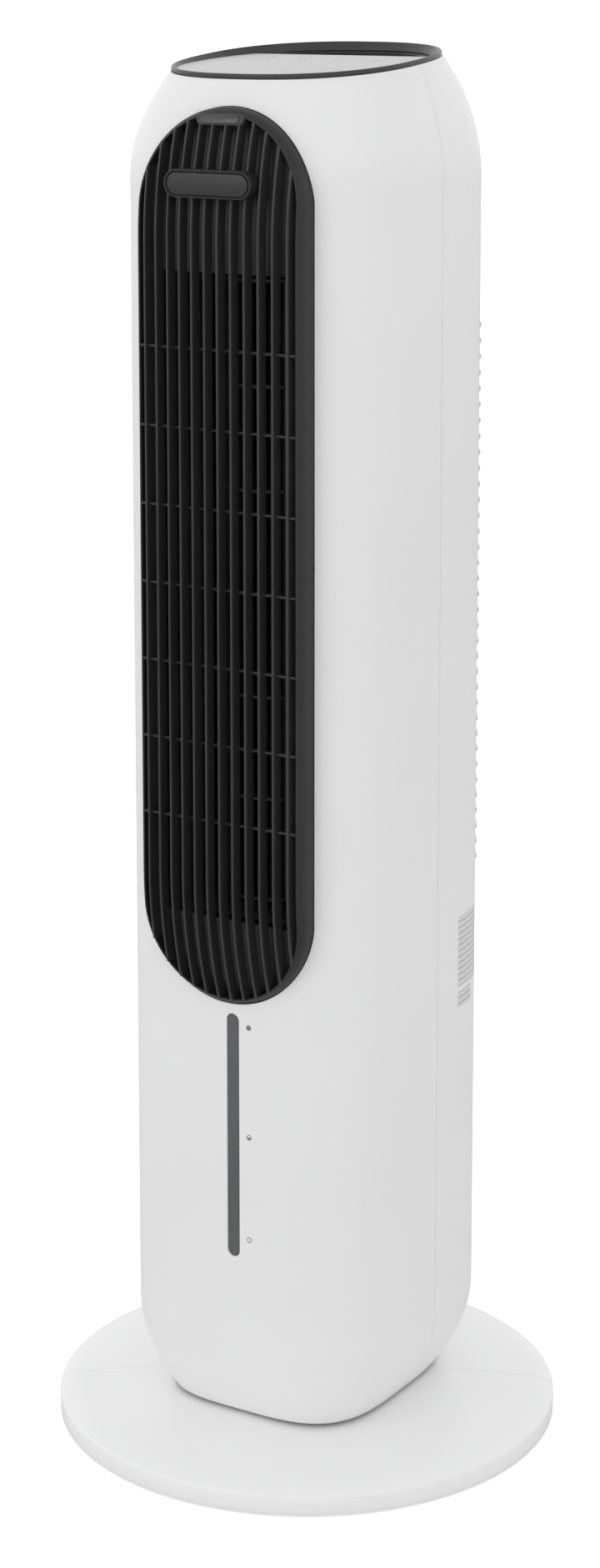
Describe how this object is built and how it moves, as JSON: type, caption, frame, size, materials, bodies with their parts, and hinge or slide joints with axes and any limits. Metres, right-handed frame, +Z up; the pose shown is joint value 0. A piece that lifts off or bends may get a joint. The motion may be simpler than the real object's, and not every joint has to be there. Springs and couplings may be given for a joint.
{
  "type": "evaporative cooler",
  "caption": "tower evaporative air cooler: a tall rounded-square column with a barred outlet grille, swinging on a round foot, with a pull-out water tank and pad cassette",
  "frame": {"origin": "centre of the round foot's footprint, on the floor under its pads", "axes": "+Z up; the outlet grille faces -Y; +X is the viewer's right when facing the grille"},
  "size_m": [0.35, 0.35, 0.9573],
  "materials": {
    "shell_white": "satin moulded ABS with a fine grain",
    "foot_white": "satin moulded ABS",
    "iron": "raw cast plate",
    "black_rubber": "moulded rubber",
    "zinc_screws": "zinc plated",
    "dark_nylon": "glass filled, fine grain",
    "acetal": "natural acetal",
    "steel_sheet": "pressed sheet",
    "motor_black": "black lacquer",
    "grille_black": "fine spark grain",
    "badge_grey": "dull plate",
    "smoke_lens": "smoked and polished",
    "label_film": "printed film",
    "panel_silver": "fine speckled silver",
    "board_green": "solder mask",
    "lamp_lens": "tinted lens",
    "cable_jacket": "soft jacket",
    "duct_white": "natural ABS",
    "sinter_bronze": "oil filled bronze",
    "wheel_grey": "glass filled nylon",
    "filter_mesh": "woven nylon mesh",
    "pad_paper": "fluted cellulose",
    "pipe_grey": "soft vinyl",
    "tank_clear": "frosted polypropylene"
  },
  "bodies": {
    "foot": {"foot_front_half": "foot_white", "foot_rear_half": "foot_white", "foot_ballast": "iron", "foot_pads": "black_rubber", "foot_screws": "zinc_screws", "turntable_seat": "dark_nylon", "glide_ring": "acetal", "swing_gear": "acetal", "gear_clip": "zinc_screws"},
    "column": {"hub_plate": "dark_nylon", "swing_bracket": "steel_sheet", "swing_motor": "steel_sheet", "front_shell": "shell_white", "rear_shell": "shell_white", "shell_screws": "zinc_screws", "cord_gland": "black_rubber", "rating_label": "label_film", "outlet_grille": "grille_black", "grille_backplate": "grille_black", "badge": "badge_grey", "receiver_window": "smoke_lens", "top_bezel": "grille_black", "control_panel": "panel_silver", "handle_cup": "grille_black", "control_board": "board_green", "indicator_lights": "lamp_lens", "wiring_loom": "cable_jacket", "scroll_wall": "grille_black", "tongue_wall": "grille_black", "lower_deck": "duct_white", "upper_deck": "duct_white", "lower_bearing": "sinter_bronze", "blower_motor": "steel_sheet", "motor_cap": "motor_black", "water_distributor": "duct_white", "catch_tray": "duct_white", "riser_pipe": "pipe_grey", "riser_seal": "black_rubber", "tank_shelf": "duct_white", "level_window": "smoke_lens"},
    "swing_drive": {"swing_pinion": "acetal"},
    "blower": {"blower_wheel": "wheel_grey", "blower_shaft": "steel_sheet"},
    "cassette": {"intake_grille": "shell_white", "dust_filter": "filter_mesh", "cooling_pad": "pad_paper", "pad_frame": "duct_white"},
    "tank": {"tank_bin": "tank_clear", "tank_door": "shell_white", "tank_pull": "shell_white", "pump_body": "dark_nylon", "pump_outlet": "pipe_grey"},
    "pump": {"pump_rotor": "acetal"}
  },
  "joints": [
    {"name": "body_swing", "type": "hinge", "parent": "foot", "child": "column", "pos_m": [0, 0, 0.03], "axis": [0, 0, 1], "range_deg": [-5, 65]},
    {"name": "pinion_spin", "type": "hinge", "parent": "column", "child": "swing_drive", "pos_m": [0, 0.045, 0.046], "axis": [0, 0, 1], "range_deg": [-20, 200]},
    {"name": "blower_spin", "type": "hinge", "parent": "column", "child": "blower", "pos_m": [0, -0.034, 0.6], "axis": [0, 0, 1], "continuous": true},
    {"name": "cassette_slide", "type": "slide", "parent": "column", "child": "cassette", "axis": [0, 1, 0], "range_m": [0, 0.16]},
    {"name": "tank_slide", "type": "slide", "parent": "column", "child": "tank", "axis": [0, 1, 0], "range_m": [0, 0.16]},
    {"name": "pump_spin", "type": "hinge", "parent": "tank", "child": "pump", "pos_m": [-0.04, 0.042, 0.1], "axis": [0, 0, 1], "continuous": true}
  ],
  "couplings": [
    {"joint": "pinion_spin", "follows": "body_swing", "ratio": 3}
  ]
}
